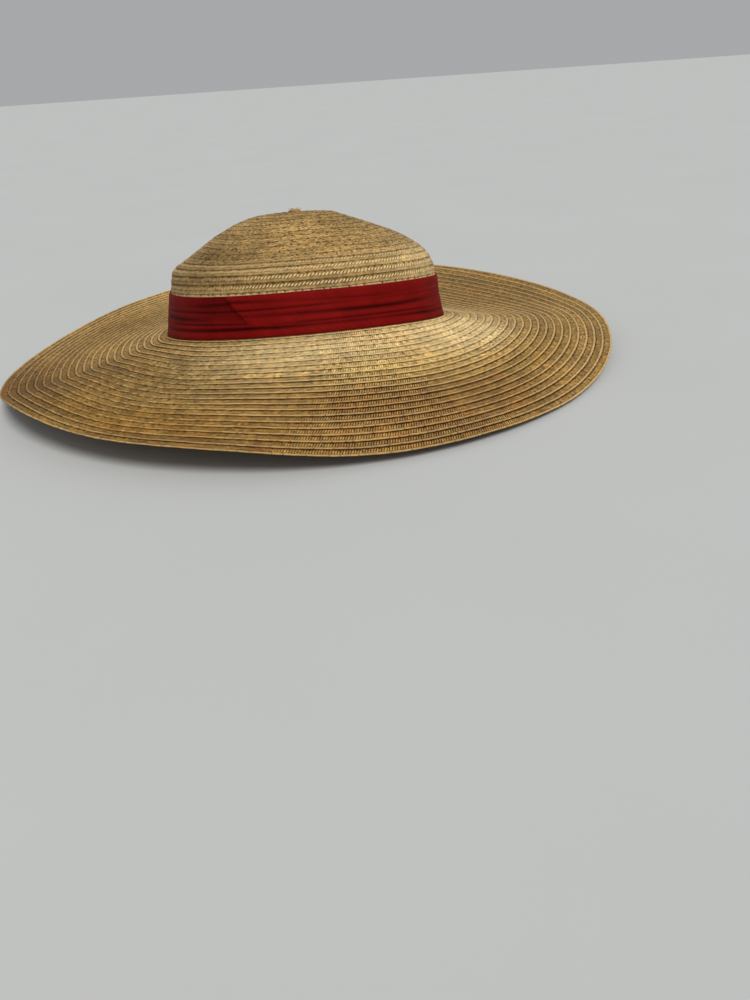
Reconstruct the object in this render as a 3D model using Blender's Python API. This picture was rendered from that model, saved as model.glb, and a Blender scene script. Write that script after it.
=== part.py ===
"""Wide-brim hat of sewn straw braid with a pleated ribbon band, lying on its own brim.

Metres, +Z up, the front towards -Y. The origin is on the floor under the middle of the hat.
Bearings are degrees from the front, counter-clockwise from above, so 90 is the wearer's left.
The crown is made about its own upright axis and then leans, because the brim dips further on one
side. Places in the tables are shares of the named sizes below.
"""
import math
from collections import namedtuple

import bpy
import numpy as np

# Crown, measured outside the straw
HEAD_LENGTH = 0.196
HEAD_WIDTH = 0.168
CROWN_HEIGHT = 0.0725

# Brim, measured along the straw from the crown to the rim
BRIM_WIDTH = 0.115

# Walls and the gap that every piece keeps to its neighbour
STRAW_THICKNESS = 0.0020
RIBBON_THICKNESS = 0.0010
CLEARANCE = 0.0003

# Ribbon: its height on the crown, how far its folds stand out, and its lapped end
BAND_HEIGHT = 0.027
FOLD_DEPTH = 0.0008
LAP_DEPTH = 0.0007
LAP_TOP_BEARING = 254.0
LAP_FOOT_BEARING = 264.0
LAP_LENGTH = 70.0

# Coil of braid at the tip
COIL_RADIUS = 0.0045
COIL_HEIGHT = 0.0016

# How the crown sits over the floor: its height at the middle, its lean, and how its edge waves.
# The wave dies away up to a share of the crown's height.
SEAT_HEIGHT = 0.0216
LEAN = math.radians(8.5)
LEAN_BEARING = 100.0
EDGE_WAVE = 0.0025
EDGE_WAVE_BEARING = 114.0
EDGE_WAVE_TOP = 0.625

# Divisions of the meshes
SIDES = 72
BRIM_STEPS = 10
CROWN_STEPS = 20
COIL_SIDES = 14
SHARP_ANGLE = math.radians(50)

# Height of the rim over the floor and arch of the section, as shares of BRIM_WIDTH, every 20 degrees
BrimSection = namedtuple("BrimSection", "bearing rim_rise arch")
BRIM_SECTIONS = [
    BrimSection(bearing=10, rim_rise=0.080, arch=-0.015),
    BrimSection(bearing=30, rim_rise=0.085, arch=-0.070),
    BrimSection(bearing=50, rim_rise=0.100, arch=-0.105),
    BrimSection(bearing=70, rim_rise=0.120, arch=-0.105),
    BrimSection(bearing=90, rim_rise=0.125, arch=-0.090),
    BrimSection(bearing=110, rim_rise=0.120, arch=-0.065),
    BrimSection(bearing=130, rim_rise=0.095, arch=-0.045),
    BrimSection(bearing=150, rim_rise=0.055, arch=-0.025),
    BrimSection(bearing=170, rim_rise=0.010, arch=-0.015),
    BrimSection(bearing=190, rim_rise=0.005, arch=-0.015),
    BrimSection(bearing=210, rim_rise=0.055, arch=-0.035),
    BrimSection(bearing=230, rim_rise=0.150, arch=-0.020),
    BrimSection(bearing=250, rim_rise=0.140, arch=-0.025),
    BrimSection(bearing=270, rim_rise=0.130, arch=-0.010),
    BrimSection(bearing=290, rim_rise=0.045, arch=0.010),
    BrimSection(bearing=310, rim_rise=0.025, arch=-0.005),
    BrimSection(bearing=330, rim_rise=0.010, arch=0.005),
    BrimSection(bearing=350, rim_rise=0.040, arch=0.010),
]

# Height is a share of CROWN_HEIGHT, reach of both half sizes of the head, ahead of the half length
CrownRing = namedtuple("CrownRing", "height reach ahead")
CROWN_RINGS = [
    CrownRing(height=0.000, reach=1.000, ahead=0.000),
    CrownRing(height=0.200, reach=0.970, ahead=0.000),
    CrownRing(height=0.370, reach=0.950, ahead=0.010),
    CrownRing(height=0.470, reach=0.935, ahead=0.010),
    CrownRing(height=0.560, reach=0.905, ahead=0.005),
    CrownRing(height=0.630, reach=0.840, ahead=0.020),
    CrownRing(height=0.700, reach=0.760, ahead=0.025),
    CrownRing(height=0.770, reach=0.670, ahead=0.020),
    CrownRing(height=0.830, reach=0.575, ahead=0.000),
    CrownRing(height=0.880, reach=0.485, ahead=-0.010),
    CrownRing(height=0.925, reach=0.400, ahead=-0.020),
    CrownRing(height=0.960, reach=0.320, ahead=-0.015),
    CrownRing(height=0.985, reach=0.235, ahead=0.005),
    CrownRing(height=1.000, reach=0.030, ahead=0.000),
]

# Soft hollows in the crown: depth and spread up the wall are shares of CROWN_HEIGHT, turn is in degrees
Dent = namedtuple("Dent", "bearing height turn spread depth")
DENTS = [
    Dent(bearing=248, height=0.74, turn=26, spread=0.13, depth=0.030),
    Dent(bearing=75, height=0.70, turn=34, spread=0.16, depth=0.035),
    Dent(bearing=332, height=0.82, turn=24, spread=0.10, depth=0.018),
]

# Height up the ribbon, and how far the ribbon stands out there as a share of FOLD_DEPTH
Fold = namedtuple("Fold", "height proud")
FOLDS = [
    Fold(height=0.00, proud=0.30),
    Fold(height=0.08, proud=0.90),
    Fold(height=0.20, proud=0.15),
    Fold(height=0.30, proud=1.00),
    Fold(height=0.41, proud=0.10),
    Fold(height=0.52, proud=0.90),
    Fold(height=0.64, proud=0.15),
    Fold(height=0.77, proud=1.00),
    Fold(height=0.89, proud=0.20),
    Fold(height=1.00, proud=0.60),
]

# Outline of the tip coil from its foot to its middle, as shares of its radius and height
CoilRing = namedtuple("CoilRing", "radius height")
COIL_RINGS = [
    CoilRing(radius=1.00, height=0.00),
    CoilRing(radius=1.00, height=0.45),
    CoilRing(radius=0.80, height=0.85),
    CoilRing(radius=0.52, height=0.60),
    CoilRing(radius=0.22, height=1.00),
]


def column(table, name):
    """One named column of a table."""
    return np.array([getattr(row, name) for row in table])


def smooth_curve(before, start, end, after, share):
    """Curve from start to end, with its slope taken from the values before and after."""
    bend = 2 * before - 5 * start + 4 * end - after
    twist = 3 * (start - end) + after - before
    return start + 0.5 * share * (end - before + share * (bend + share * twist))


def value_around(table, name, bearing):
    """Value of a column at a bearing, on a smooth closed curve through evenly spaced rows."""
    values = column(table, name)
    count = len(values)
    place = (bearing - table[0].bearing) * count / 360.0
    row = np.floor(place).astype(int)
    near = [values[(row + step) % count] for step in (-1, 0, 1, 2)]
    return smooth_curve(*near, place - row)


def value_along(table, name, place):
    """Value of a column at a place between rows, on a smooth curve carried on straight at its ends."""
    values = column(table, name)
    values = np.concatenate([[2 * values[0] - values[1]], values, [2 * values[-1] - values[-2]]])
    row = np.clip(np.floor(place).astype(int), 0, len(table) - 2)
    near = [values[row + step] for step in (0, 1, 2, 3)]
    return smooth_curve(*near, place - row)


def direction(bearing):
    """Level direction of a bearing."""
    turn = np.radians(bearing)
    return np.stack([np.sin(turn), -np.cos(turn)], -1)


def oval(bearing, half_length, half_width):
    """Point of the head's oval where its outward direction has this bearing."""
    out = direction(bearing)
    scale = np.sqrt((half_width * out[..., 0]) ** 2 + (half_length * out[..., 1]) ** 2)
    return np.stack([half_width ** 2 * out[..., 0] / scale, half_length ** 2 * out[..., 1] / scale], -1)


def leaning(points):
    """Points of the upright crown, leant over and raised to where the crown sits."""
    side = direction(LEAN_BEARING)
    out = points[..., 0] * side[0] + points[..., 1] * side[1]
    height = points[..., 2]
    shift = out * (math.cos(LEAN) - 1) + height * math.sin(LEAN)
    level = height * math.cos(LEAN) - out * math.sin(LEAN) + SEAT_HEIGHT
    return np.stack([points[..., 0] + shift * side[0], points[..., 1] + shift * side[1], level], -1)


def edge_rise(bearing):
    """Rise of the line where crown and brim meet, over the crown's level foot."""
    return EDGE_WAVE * np.cos(np.radians(2 * (bearing - EDGE_WAVE_BEARING)))


def crown_edge(bearing):
    """Point where the outside of the crown meets the middle of the brim's straw."""
    flat = oval(bearing, HEAD_LENGTH / 2, HEAD_WIDTH / 2)
    return leaning(np.concatenate([flat, edge_rise(bearing)[..., None]], -1))


def brim_surface(bearing, share):
    """Middle of the brim's straw, at a share of its width from the crown to the rim.

    The section is a parabola, whose length is close to the root of its chord squared and 16/3 of its
    arch squared, so the straw keeps its width however it waves.
    """
    edge = crown_edge(bearing)
    arch = value_around(BRIM_SECTIONS, "arch", bearing) * BRIM_WIDTH
    rim = value_around(BRIM_SECTIONS, "rim_rise", bearing) * BRIM_WIDTH
    fall = rim - edge[..., 2]
    run = np.sqrt(np.maximum(BRIM_WIDTH ** 2 - 16 / 3 * arch ** 2 - fall ** 2, (BRIM_WIDTH / 4) ** 2))
    flat = edge[..., :2] + direction(bearing) * (run * share)[..., None]
    height = edge[..., 2] + fall * share + 4 * share * (1 - share) * arch
    return np.concatenate([flat, height[..., None]], -1)


def crown_surface(bearing, place):
    """Outside of the crown at a place in its table of rings, before its dents."""
    height = value_along(CROWN_RINGS, "height", place)
    reach = value_along(CROWN_RINGS, "reach", place)[..., None] * HEAD_LENGTH / 2
    flat = oval(bearing, 1.0, HEAD_WIDTH / HEAD_LENGTH) * reach
    flat[..., 1] -= value_along(CROWN_RINGS, "ahead", place) * HEAD_LENGTH / 2
    foot = STRAW_THICKNESS / 2
    settled = np.clip(1 - height / EDGE_WAVE_TOP, 0, 1)
    level = height * (CROWN_HEIGHT + foot) - foot + edge_rise(bearing) * settled
    return leaning(np.concatenate([flat, level[..., None]], -1))


def outward(grid):
    """Unit normals of a grid of points that closes on itself in its first direction."""
    round_the_hat = np.roll(grid, -1, 0) - np.roll(grid, 1, 0)
    normal = np.cross(round_the_hat, np.gradient(grid, axis=1))
    return normal / np.linalg.norm(normal, axis=-1, keepdims=True)


def dented(grid, bearing, height):
    """The crown's grid pushed in at its soft hollows."""
    push = np.zeros(bearing.shape)
    for dent in DENTS:
        turn = (bearing - dent.bearing + 180) % 360 - 180
        shape = np.exp(-(turn / dent.turn) ** 2 - ((height - dent.height) / dent.spread) ** 2)
        push += dent.depth * CROWN_HEIGHT * shape
    return grid - outward(grid) * push[..., None]


def wall_mesh(name, outside, inside, capped):
    """Closed wall between two grids, which run round the hat and from its outer edge upward."""
    sides, steps = outside.shape[:2]
    count = sides * steps
    faces = []
    for side in range(sides):
        here, there = side * steps, (side + 1) % sides * steps
        for step in range(steps - 1):
            faces.append((here + step, there + step, there + step + 1, here + step + 1))
            low, high = count + here + step, count + there + step
            faces.append((low, low + 1, high + 1, high))
        faces.append((count + here, count + there, there, here))
        if not capped:
            end = steps - 1
            faces.append((here + end, there + end, count + there + end, count + here + end))
    if capped:
        last = [side * steps + steps - 1 for side in range(sides)]
        faces.append(last)
        faces.append([count + point for point in reversed(last)])
    mesh = bpy.data.meshes.new(name)
    points = np.concatenate([outside.reshape(-1, 3), inside.reshape(-1, 3)])
    mesh.from_pydata(points.tolist(), [], faces)
    mesh.shade_smooth()
    mesh.set_sharp_from_angle(angle=SHARP_ANGLE)
    return mesh


def material(name, colour, roughness):
    """Matt material of one colour."""
    finish = bpy.data.materials.new(name)
    finish.use_nodes = True
    shader = finish.node_tree.nodes["Principled BSDF"]
    shader.inputs["Base Color"].default_value = (*colour, 1.0)
    shader.inputs["Roughness"].default_value = roughness
    shader.inputs["Metallic"].default_value = 0.0
    return finish


def add_piece(name, mesh, finish, hat):
    """One named piece of the hat, carried by the hat's own empty."""
    mesh.materials.append(finish)
    piece = bpy.data.objects.new(name, mesh)
    bpy.context.collection.objects.link(piece)
    piece.parent = hat
    return piece


def bearings():
    """Bearings of the meshes' sides."""
    return np.arange(SIDES) * 360.0 / SIDES


def brim_grid():
    """Middle of the brim from its rim to its edge against the crown, and its normals."""
    shares = np.linspace(1.0, CLEARANCE / BRIM_WIDTH, BRIM_STEPS)
    bearing, share = np.meshgrid(bearings(), shares, indexing="ij")
    grid = brim_surface(bearing, share)
    return grid, outward(grid)


def brim_half_height():
    """Half the straw's thickness measured straight up, at each point of the brim's grid."""
    return STRAW_THICKNESS / 2 / brim_grid()[1][..., 2]


def brim_mesh():
    """The sheet of straw round the crown, with upright edges."""
    grid = brim_grid()[0]
    lift = np.zeros(grid.shape)
    lift[..., 2] = brim_half_height()
    return wall_mesh("brim", grid + lift, grid - lift, capped=False)


def crown_mesh():
    """The dome of straw, open below, its foot inside the brim's edge."""
    places = np.linspace(0, len(CROWN_RINGS) - 1, CROWN_STEPS)
    bearing, place = np.meshgrid(bearings(), places, indexing="ij")
    outside = crown_surface(bearing, place)
    outside = dented(outside, bearing, value_along(CROWN_RINGS, "height", place))
    inside = outside - outward(outside) * STRAW_THICKNESS
    return wall_mesh("crown", outside, inside, capped=True)


def ribbon_foot():
    """Height up the crown at which the ribbon clears the top of the brim, as a share of the crown's."""
    brim_top = STRAW_THICKNESS / 2 + brim_half_height()[:, -1] / math.cos(LEAN)
    return (brim_top + CLEARANCE) / (CROWN_HEIGHT + STRAW_THICKNESS / 2)


def lap_shape(bearing, height):
    """Share of the lap's thickness: it starts at a slanted end and thins out where the end lies under it."""
    start = LAP_TOP_BEARING + (LAP_FOOT_BEARING - LAP_TOP_BEARING) * (1 - height)
    past = (bearing - start) % 360
    return np.where(past < LAP_LENGTH, 1 - past / LAP_LENGTH, 0.0)


def band_mesh():
    """The pleated ribbon round the foot of the crown."""
    foot = ribbon_foot()
    top = BAND_HEIGHT / CROWN_HEIGHT
    bearing, height = np.meshgrid(bearings(), column(FOLDS, "height"), indexing="ij")
    share = foot[:, None] + (top - foot[:, None]) * height
    fine = np.linspace(0, len(CROWN_RINGS) - 1, 400)
    place = np.interp(share, value_along(CROWN_RINGS, "height", fine), fine)
    crown = crown_surface(bearing, place)
    normal = outward(crown)
    crown = dented(crown, bearing, share)
    folds = column(FOLDS, "proud") * FOLD_DEPTH
    thickness = RIBBON_THICKNESS + folds + lap_shape(bearing, height) * LAP_DEPTH
    inside = crown + normal * CLEARANCE
    return wall_mesh("band", inside + normal * thickness[..., None], inside, capped=False)


def tip_coil_mesh():
    """The small coil of braid lying on the tip of the crown."""
    turn = np.arange(COIL_SIDES) * 2 * math.pi / COIL_SIDES
    ring = np.stack([np.sin(turn), -np.cos(turn)], -1) * COIL_RADIUS
    points = []
    for row in COIL_RINGS:
        level = np.full((COIL_SIDES, 1), CROWN_HEIGHT + CLEARANCE + row.height * COIL_HEIGHT)
        points.append(leaning(np.concatenate([ring * row.radius, level], -1)))
    faces = [list(reversed(range(COIL_SIDES)))]
    for low in range(len(COIL_RINGS) - 1):
        for side in range(COIL_SIDES):
            next_side = (side + 1) % COIL_SIDES
            here, there = low * COIL_SIDES + side, low * COIL_SIDES + next_side
            faces.append((here, there, there + COIL_SIDES, here + COIL_SIDES))
    top = (len(COIL_RINGS) - 1) * COIL_SIDES
    faces.append([top + side for side in range(COIL_SIDES)])
    mesh = bpy.data.meshes.new("tip_coil")
    mesh.from_pydata(np.concatenate(points).tolist(), [], faces)
    mesh.shade_smooth()
    mesh.set_sharp_from_angle(angle=SHARP_ANGLE)
    return mesh


def set_down(hat, pieces):
    """Put the hat's lowest point on the floor and the middle of its outline over the origin."""
    points = np.array([corner.co for piece in pieces for corner in piece.data.vertices])
    middle = (points.min(0) + points.max(0)) / 2
    hat.location = (-middle[0], -middle[1], -points[:, 2].min())


def build():
    for old in list(bpy.data.objects):
        bpy.data.objects.remove(old)
    straw = material("straw", (0.60, 0.40, 0.17), 0.6)
    ribbon = material("ribbon", (0.30, 0.012, 0.012), 0.55)
    hat = bpy.data.objects.new("hat", None)
    bpy.context.collection.objects.link(hat)
    pieces = [
        add_piece("crown", crown_mesh(), straw, hat),
        add_piece("brim", brim_mesh(), straw.copy(), hat),
        add_piece("band", band_mesh(), ribbon, hat),
        add_piece("tip_coil", tip_coil_mesh(), straw.copy(), hat),
    ]
    set_down(hat, pieces)
    bpy.context.view_layer.update()


build()
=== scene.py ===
"""Looks of the wide-brim straw hat: sewn rows of straw braid, a pleated ribbon and a tuft at the tip.

Metres, +Z up, the front towards -Y. Bearings are degrees from the front, counter-clockwise from
above. The crown, the brim and the ribbon follow the same sizes and tables as the solids they stand
for. The braid is one long strip that winds from the tip down the crown, and another that winds out
over the brim. Each row's outer edge lies on the next row.
"""
import math
from collections import namedtuple

import bpy
import numpy as np
from mathutils import Matrix, Vector


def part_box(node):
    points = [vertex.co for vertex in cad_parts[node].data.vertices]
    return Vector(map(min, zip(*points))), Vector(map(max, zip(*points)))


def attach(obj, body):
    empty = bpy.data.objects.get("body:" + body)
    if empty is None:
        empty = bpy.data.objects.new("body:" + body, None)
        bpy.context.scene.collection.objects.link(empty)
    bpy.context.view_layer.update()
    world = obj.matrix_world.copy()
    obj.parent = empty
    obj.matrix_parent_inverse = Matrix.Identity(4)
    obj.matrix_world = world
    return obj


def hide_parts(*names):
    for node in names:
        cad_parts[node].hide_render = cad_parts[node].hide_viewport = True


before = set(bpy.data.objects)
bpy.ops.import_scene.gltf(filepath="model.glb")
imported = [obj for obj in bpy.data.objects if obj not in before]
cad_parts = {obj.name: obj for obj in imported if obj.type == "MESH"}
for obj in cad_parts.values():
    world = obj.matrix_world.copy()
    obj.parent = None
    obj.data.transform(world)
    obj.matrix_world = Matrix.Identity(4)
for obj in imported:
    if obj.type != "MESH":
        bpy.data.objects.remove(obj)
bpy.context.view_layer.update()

# Crown, brim and ribbon, as in the solids
HEAD_LENGTH = 0.196
HEAD_WIDTH = 0.168
CROWN_HEIGHT = 0.0725
BRIM_WIDTH = 0.115
STRAW_THICKNESS = 0.0020
CLEARANCE = 0.0003
BAND_HEIGHT = 0.027
SEAT_HEIGHT = 0.0216
LEAN = math.radians(8.5)
LEAN_BEARING = 100.0
EDGE_WAVE = 0.0025
EDGE_WAVE_BEARING = 114.0
EDGE_WAVE_TOP = 0.625

# Braid: its width, how far it may be stretched where it starts, the share of it that is lost past the
# surface's edge, how many rows go round the crown and the brim, and the spacing of the rows
BRAID_WIDTH = 0.0070
START_STRETCH = 1.3
EDGE_NARROWING = 0.3
CROWN_ROWS = 25
BRIM_ROWS = 22
ROW_PITCH = BRIM_WIDTH / (BRIM_ROWS - 0.5)

# The crown's last row runs on past its foot, so that a row ends just above the ribbon. The edge of a
# strip may sway out over the surface's own edge, and plain rows lie flatter by a share of their height.
CROWN_RUN_ON = 0.0028
RIM_RUN_ON = 0.0005
FLATTENING = 0.58

# Each turn steps outward over this share of itself, on the wearer's left, and then runs level
STEP_SHARE = 0.35
STEP_BEARING = 20.0

# Where the braid is worn, lengths of it lie out of line by up to half of the jog
WORN_LENGTH = 0.0034
WORN_JOG = 0.0011

# The plait: spacing of its stitches, of the folds along its edge and of the sags of its rope
STITCH_PITCH = 0.0056
SCALLOP_PITCH = 0.0050
SWAG_PITCH = 0.0120

# Ribbon: its gap to the crown, the share of the crown's height where it starts, the depth of its folds,
# the share of its height that each edge takes, and the steps and rows of its mesh
RIBBON_THICKNESS = 0.0005
RIBBON_GAP = 0.00035
RIBBON_FOOT = 0.018
FOLD_DEPTH = 0.0008
EDGE_SHARE = 0.08
RIBBON_STEPS = 620
RIBBON_ROWS = 46

# The ribbon's lapped end stands out at first and settles over the lap's length. Its other end overlaps
# under it, pulled tight from a number of degrees, later at its foot, where it first stands out by a cover.
LAP_TOP_BEARING = 253.5
LAP_FOOT_BEARING = 267.0
LAP_DEPTH = 0.0006
LAP_LENGTH = 70.0
LAP_OVERLAP = 24.0
LAP_COVER = 0.00055
TIGHT_FROM = 335.0
TIGHT_DELAY = 25.0

# The ribbon's run: its length once round the hat, a length that takes in all of its sways, and the
# spacing of its ribs and of its warp
RIBBON_ROUND = 0.57
SWAY_RUN = 0.70
RIB_PITCH = 0.0009
WARP_PITCH = 0.00035

# Tip: the coil of braid with its first radius, and the tuft of blades
COIL_RADIUS = 0.0045
COIL_START = 0.0004
COIL_TURNS = 2.48
COIL_STEPS = 180
COIL_SIDES = 10
TUFT_LENGTH = 0.0050
TUFT_BLADES = 9
TUFT_STEPS = 9
BLADE_WIDTH = 0.00055
BLADE_THICKNESS = 0.00018

# Steps that a surface's normals are taken over: degrees of bearing, rows of the crown's table, and
# shares of the brim's width
TURN_STEP = 0.5
NORMAL_STEP = 0.02
SHARE_STEP = 0.004

# Colours, as light reflected
CROWN_STRAW = (0.432, 0.274, 0.106)
BRIM_STRAW = (0.370, 0.205, 0.050)
# Cream is the straw's pale colour; on lips, strand crests and near the crown's foot it is partly painted
# highlight
CREAM = (0.90, 0.68, 0.34)
# Stain and grey are the straw's own tints, and in some areas also painted shade
STAIN_AND_SHADE = (0.20, 0.076, 0.009)
GREY = (0.120, 0.068, 0.019)
YELLOW = (0.49, 0.278, 0.046)
# Painted shadow: the dark colour of the groove under each row's lip and of the stitch dips
GROOVE_SHADOW = (0.060, 0.022, 0.004)
RED = (0.212, 0.0052, 0.0041)

# Height of the rim over the floor and arch of the section, as shares of BRIM_WIDTH, every 20 degrees
BrimSection = namedtuple("BrimSection", "bearing rim_rise arch")
BRIM_SECTIONS = [BrimSection(*row) for row in (
    (10, 0.080, -0.015),
    (30, 0.085, -0.070),
    (50, 0.100, -0.105),
    (70, 0.120, -0.105),
    (90, 0.125, -0.090),
    (110, 0.120, -0.065),
    (130, 0.095, -0.045),
    (150, 0.055, -0.025),
    (170, 0.010, -0.015),
    (190, 0.005, -0.015),
    (210, 0.055, -0.035),
    (230, 0.150, -0.020),
    (250, 0.140, -0.025),
    (270, 0.130, -0.010),
    (290, 0.045, 0.010),
    (310, 0.025, -0.005),
    (330, 0.010, 0.005),
    (350, 0.040, 0.010),
)]

# Height is a share of CROWN_HEIGHT, reach of both half sizes of the head, ahead of the half length
CrownRing = namedtuple("CrownRing", "height reach ahead")
CROWN_RINGS = [CrownRing(*row) for row in (
    (0.000, 1.000, 0.000),
    (0.200, 0.970, 0.000),
    (0.370, 0.950, 0.010),
    (0.470, 0.935, 0.010),
    (0.560, 0.905, 0.005),
    (0.630, 0.840, 0.020),
    (0.700, 0.760, 0.025),
    (0.770, 0.670, 0.020),
    (0.830, 0.575, 0.000),
    (0.880, 0.485, -0.010),
    (0.925, 0.400, -0.020),
    (0.960, 0.320, -0.015),
    (0.985, 0.235, 0.005),
    (1.000, 0.030, 0.000),
)]
TOP_PLACE = len(CROWN_RINGS) - 1

# Soft hollows: depth and spread up the wall are shares of CROWN_HEIGHT, turn is in degrees
Dent = namedtuple("Dent", "bearing height turn spread depth")
DENTS = [Dent(*row) for row in (
    (248, 0.74, 26, 0.13, 0.030),
    (75, 0.70, 34, 0.16, 0.035),
    (332, 0.82, 24, 0.10, 0.018),
)]

# Section of the braid, from its inner edge over the top to the bead at its outer edge and back.
# Across is a share of its width, height a share of its thickness, and under is 1 on its underside.
BraidPoint = namedtuple("BraidPoint", "across height under")
BRAID_SECTION = [BraidPoint(*row) for row in (
    (0.00, -0.05, 0),
    (0.08, 0.30, 0),
    (0.22, 0.40, 0),
    (0.34, 0.52, 0),
    (0.46, 0.58, 0),
    (0.60, 0.46, 0),
    (0.74, 0.50, 0),
    (0.82, 0.62, 0),
    (0.89, 0.92, 0),
    (0.95, 0.98, 0),
    (0.99, 0.66, 0.2),
    (1.00, 0.28, 0.7),
    (0.98, -0.04, 1),
    (0.88, -0.28, 1),
    (0.48, -0.45, 1),
    (0.14, -0.42, 1),
)]

# Areas of the straw, each with its bearing, how many degrees it spreads, its place as a share of the
# brim's width or the crown's height, and its reach from there. The other values are 0 where a row leaves
# them out: how much of each tint the straw has there, how much it is worn and how plain it lies, with
# its rows pressed flat. Some tints are partly painted light: stain and grey darken some areas as
# painted shade, and cream lightens the middle near the crown's foot as painted light.
AREA_VALUES = ("cream", "stain", "grey", "yellow", "worn", "plain")
Patch = namedtuple(
    "Patch", ("bearing", "turn", "place", "reach") + AREA_VALUES, defaults=(0,) * len(AREA_VALUES))
BRIM_PATCHES = [
    # Cream near the crown's foot on the right: partly the straw's pale colour, partly painted light, a sheen
    # where the brim catches the light
    Patch(336, 32, 0.12, 0.24, cream=1.0, plain=0.5),
    Patch(340, 16, 0.24, 0.18, cream=0.80, plain=0.2),
    Patch(335, 20, 0.62, 0.18, stain=0.36, yellow=0.8),
    # Pale middle near the crown's foot: partly cream straw, partly painted light
    Patch(278, 26, 0.16, 0.20, cream=0.82, worn=0.3, plain=0.8),
    Patch(304, 20, 0.36, 0.13, cream=0.10, yellow=0.9, plain=0.3),
    Patch(288, 14, 0.60, 0.10, stain=0.90, yellow=0.2),
    Patch(310, 18, 0.72, 0.16, stain=0.85),
    # Darker outer rows: partly stain, partly painted shade along the rim's edge
    Patch(290, 46, 0.98, 0.26, stain=0.72, grey=0.2),
    Patch(256, 24, 0.84, 0.20, stain=0.20, yellow=0.5, worn=0.5, plain=0.9),
    # Left tip: partly stain and wear, partly painted shade
    Patch(212, 22, 0.92, 0.34, stain=0.7, grey=1.0, worn=0.3, plain=0.5),
    Patch(228, 20, 0.45, 0.35, grey=0.10, worn=0.6, plain=0.8),
    Patch(250, 16, 0.45, 0.30, cream=0.1, grey=0.05, worn=0.9, plain=0.8),
    # Far-left brim: its grey and stain are partly painted shade where the brim turns from the light
    Patch(165, 28, 0.60, 0.45, stain=0.4, grey=0.8, yellow=0.4, worn=0.3, plain=0.3),
    Patch(60, 45, 0.70, 0.40, stain=0.4, grey=0.80, worn=0.1),
    Patch(120, 30, 0.30, 0.30, stain=0.2, grey=0.3, yellow=0.3, worn=0.3),
]
CROWN_PATCHES = [
    Patch(300, 99, 0.37, 0.02, cream=1.0),
    # Lower wall above the ribbon: partly the rows' olive tone, partly painted shade
    Patch(300, 99, 0.46, 0.10, grey=0.71),
    Patch(238, 20, 0.46, 0.14, plain=0.7),
    Patch(345, 24, 0.52, 0.16, cream=0.50),
    # Near-left dent: worn rows, with its grey partly painted shade in the dent
    Patch(236, 22, 0.64, 0.14, stain=0.1, grey=0.50, worn=1.0),
    Patch(300, 50, 0.85, 0.22, yellow=0.1, worn=0.5, plain=0.3),
    Patch(100, 60, 0.60, 0.30, stain=0.1, grey=0.2, yellow=0.1, worn=0.3),
]

# Creases of the ribbon: height and width are shares of the ribbon's height, depth is a share of
# FOLD_DEPTH, and above says how far the fold over the crease stands out
Crease = namedtuple("Crease", "height depth width above")
CREASES = [Crease(*row) for row in (
    (0.80, 0.90, 0.050, 0.40),
    (0.65, 0.75, 0.034, 0.30),
    (0.49, 1.00, 0.060, 0.60),
    (0.34, 0.75, 0.034, 0.30),
    (0.19, 1.00, 0.052, 0.60),
)]


def column(table, name):
    """One named column of a table."""
    return np.array([getattr(row, name) for row in table], float)


def smooth_curve(before, start, end, after, share):
    """Curve from start to end, with its slope taken from the values before and after."""
    bend = 2 * before - 5 * start + 4 * end - after
    twist = 3 * (start - end) + after - before
    return start + 0.5 * share * (end - before + share * (bend + share * twist))


def value_around(table, name, bearing):
    """Value of a column at a bearing, on a smooth closed curve through evenly spaced rows."""
    values = column(table, name)
    count = len(values)
    place = (bearing - table[0].bearing) * count / 360.0
    row = np.floor(place).astype(int)
    near = [values[(row + step) % count] for step in (-1, 0, 1, 2)]
    return smooth_curve(*near, place - row)


def value_along(table, name, place):
    """Value of a column at a place between rows, on a smooth curve carried on straight at its ends."""
    values = column(table, name)
    values = np.concatenate([[2 * values[0] - values[1]], values, [2 * values[-1] - values[-2]]])
    row = np.clip(np.floor(place).astype(int), 0, len(table) - 2)
    near = [values[row + step] for step in (0, 1, 2, 3)]
    return smooth_curve(*near, place - row)


def steps(points, axis=0):
    """Distances from each point of a line or grid to the next."""
    return np.linalg.norm(np.diff(points, axis=axis), axis=-1)


def eased(share):
    """Share that starts and ends gently."""
    share = np.clip(share, 0, 1)
    return share * share * (3 - 2 * share)


def between(value, low, high):
    """Share that goes gently from 0 to 1 while a value goes from low to high."""
    return eased((value - low) / (high - low))


def direction(bearing):
    """Level direction of a bearing."""
    turn = np.radians(bearing)
    return np.stack([np.sin(turn), -np.cos(turn)], -1)


def oval(bearing, half_length, half_width):
    """Point of the head's oval where its outward direction has this bearing."""
    out = direction(bearing)
    scale = np.sqrt((half_width * out[..., 0]) ** 2 + (half_length * out[..., 1]) ** 2)
    return np.stack([half_width ** 2 * out[..., 0] / scale, half_length ** 2 * out[..., 1] / scale], -1)


def leaning(points):
    """Points of the upright crown, leant over and raised to where the crown sits."""
    side = direction(LEAN_BEARING)
    out = points[..., 0] * side[0] + points[..., 1] * side[1]
    height = points[..., 2]
    shift = out * (math.cos(LEAN) - 1) + height * math.sin(LEAN)
    level = height * math.cos(LEAN) - out * math.sin(LEAN) + SEAT_HEIGHT
    return np.stack([points[..., 0] + shift * side[0], points[..., 1] + shift * side[1], level], -1)


def edge_rise(bearing):
    """Rise of the line where crown and brim meet, over the crown's level foot."""
    return EDGE_WAVE * np.cos(np.radians(2 * (bearing - EDGE_WAVE_BEARING)))


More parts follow.
